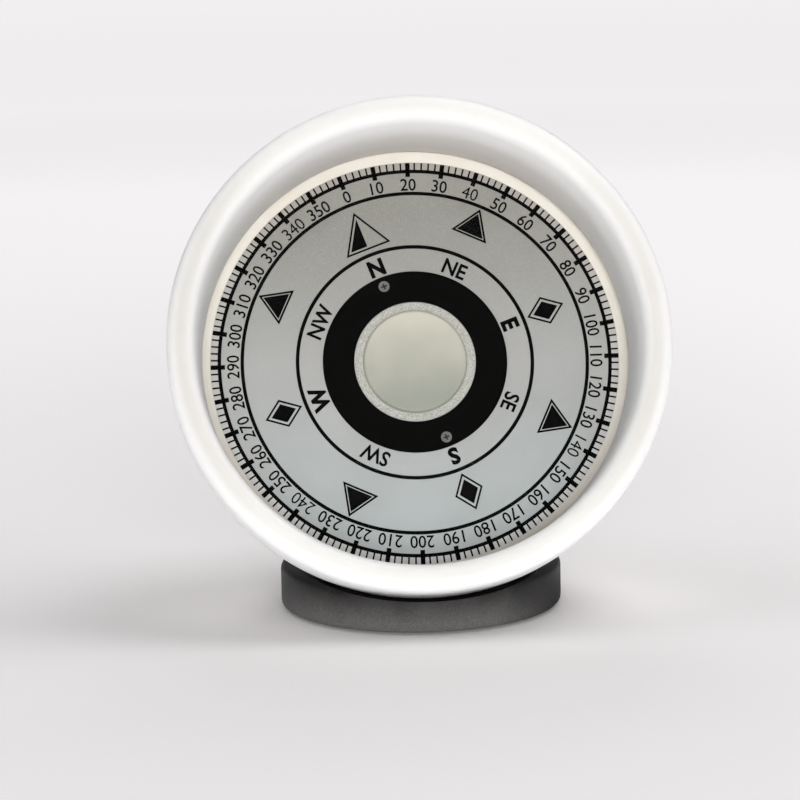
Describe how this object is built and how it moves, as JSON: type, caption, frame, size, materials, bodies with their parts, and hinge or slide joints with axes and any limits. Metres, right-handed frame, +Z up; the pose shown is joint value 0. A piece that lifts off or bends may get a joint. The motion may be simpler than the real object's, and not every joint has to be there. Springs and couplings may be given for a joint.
{
  "type": "dashboard compass",
  "caption": "Liquid-type dashboard compass: ball-shaped head with a thick lip and a recessed floating card, tilting in a swivelling cradle on a round stick-on base.",
  "frame": {"origin": "centre of the adhesive pad's underside, on the swivel axis", "axes": "+Z up off the dashboard, -Y towards the driver whom the dial faces, +X to the driver's right"},
  "size_m": [0.09, 0.0672, 0.0928],
  "materials": {
    "white_plastic": "smooth satin",
    "black_plastic": "satin",
    "knob_plastic": "fine grain",
    "ivory_plastic": "smooth",
    "milky_plastic": "translucent satin",
    "dial_metal": "fine satin",
    "aluminium": "pressed",
    "brass": "turned",
    "stainless": "turned",
    "magnet_steel": "sintered",
    "rubber": "moulded",
    "white_silicone": "moulded",
    "foam_tape": "closed-cell foam",
    "nylon": "moulded",
    "clear_cover": "clear",
    "jewel_glass": "polished"
  },
  "bodies": {
    "base": {"adhesive_pad": "foam_tape", "base_plate": "aluminium", "swivel_rivet": "brass"},
    "cradle": {"cradle": "black_plastic", "swivel_washer": "nylon", "seat_pads": "rubber", "clamp_nut": "brass", "clamp_washer": "stainless"},
    "knob": {"clamp_knob": "knob_plastic", "clamp_stud": "brass"},
    "head": {"bowl": "white_plastic", "front_ring": "white_plastic", "rear_cap": "white_plastic", "rear_cap_screws": "stainless", "dome": "clear_cover", "dome_gasket": "white_silicone", "lubber_pointer": "black_plastic", "pivot_post": "brass", "pivot_pin": "stainless", "filler_plug": "brass", "plug_seal": "rubber", "diaphragm": "rubber", "diaphragm_ring": "brass", "diaphragm_screws": "stainless"},
    "card": {"card_float": "ivory_plastic", "float_chamber": "ivory_plastic", "dial_plate": "dial_metal", "dial_rivets": "stainless", "card_hub": "milky_plastic", "jewel_holder": "brass", "jewel": "jewel_glass", "card_retainer": "brass", "magnets": "magnet_steel"}
  },
  "joints": [
    {"name": "base_swivel", "type": "hinge", "parent": "base", "child": "cradle", "pos_m": [0, 0, 0], "axis": [0, 0, 1], "continuous": true},
    {"name": "head_tilt", "type": "hinge", "parent": "cradle", "child": "head", "pos_m": [0, -0.0072, 0.04862], "axis": [1, 0, 0], "range_deg": [-70, 2]},
    {"name": "knob_turn", "type": "hinge", "parent": "cradle", "child": "knob", "pos_m": [0, -0.0072, 0.04862], "axis": [0, 0.7071, -0.7071], "range_deg": [0, 180]},
    {"name": "card_turn", "type": "hinge", "parent": "head", "child": "card", "pos_m": [0, -0.0072, 0.04862], "axis": [0, -0.9397, 0.342], "continuous": true}
  ]
}
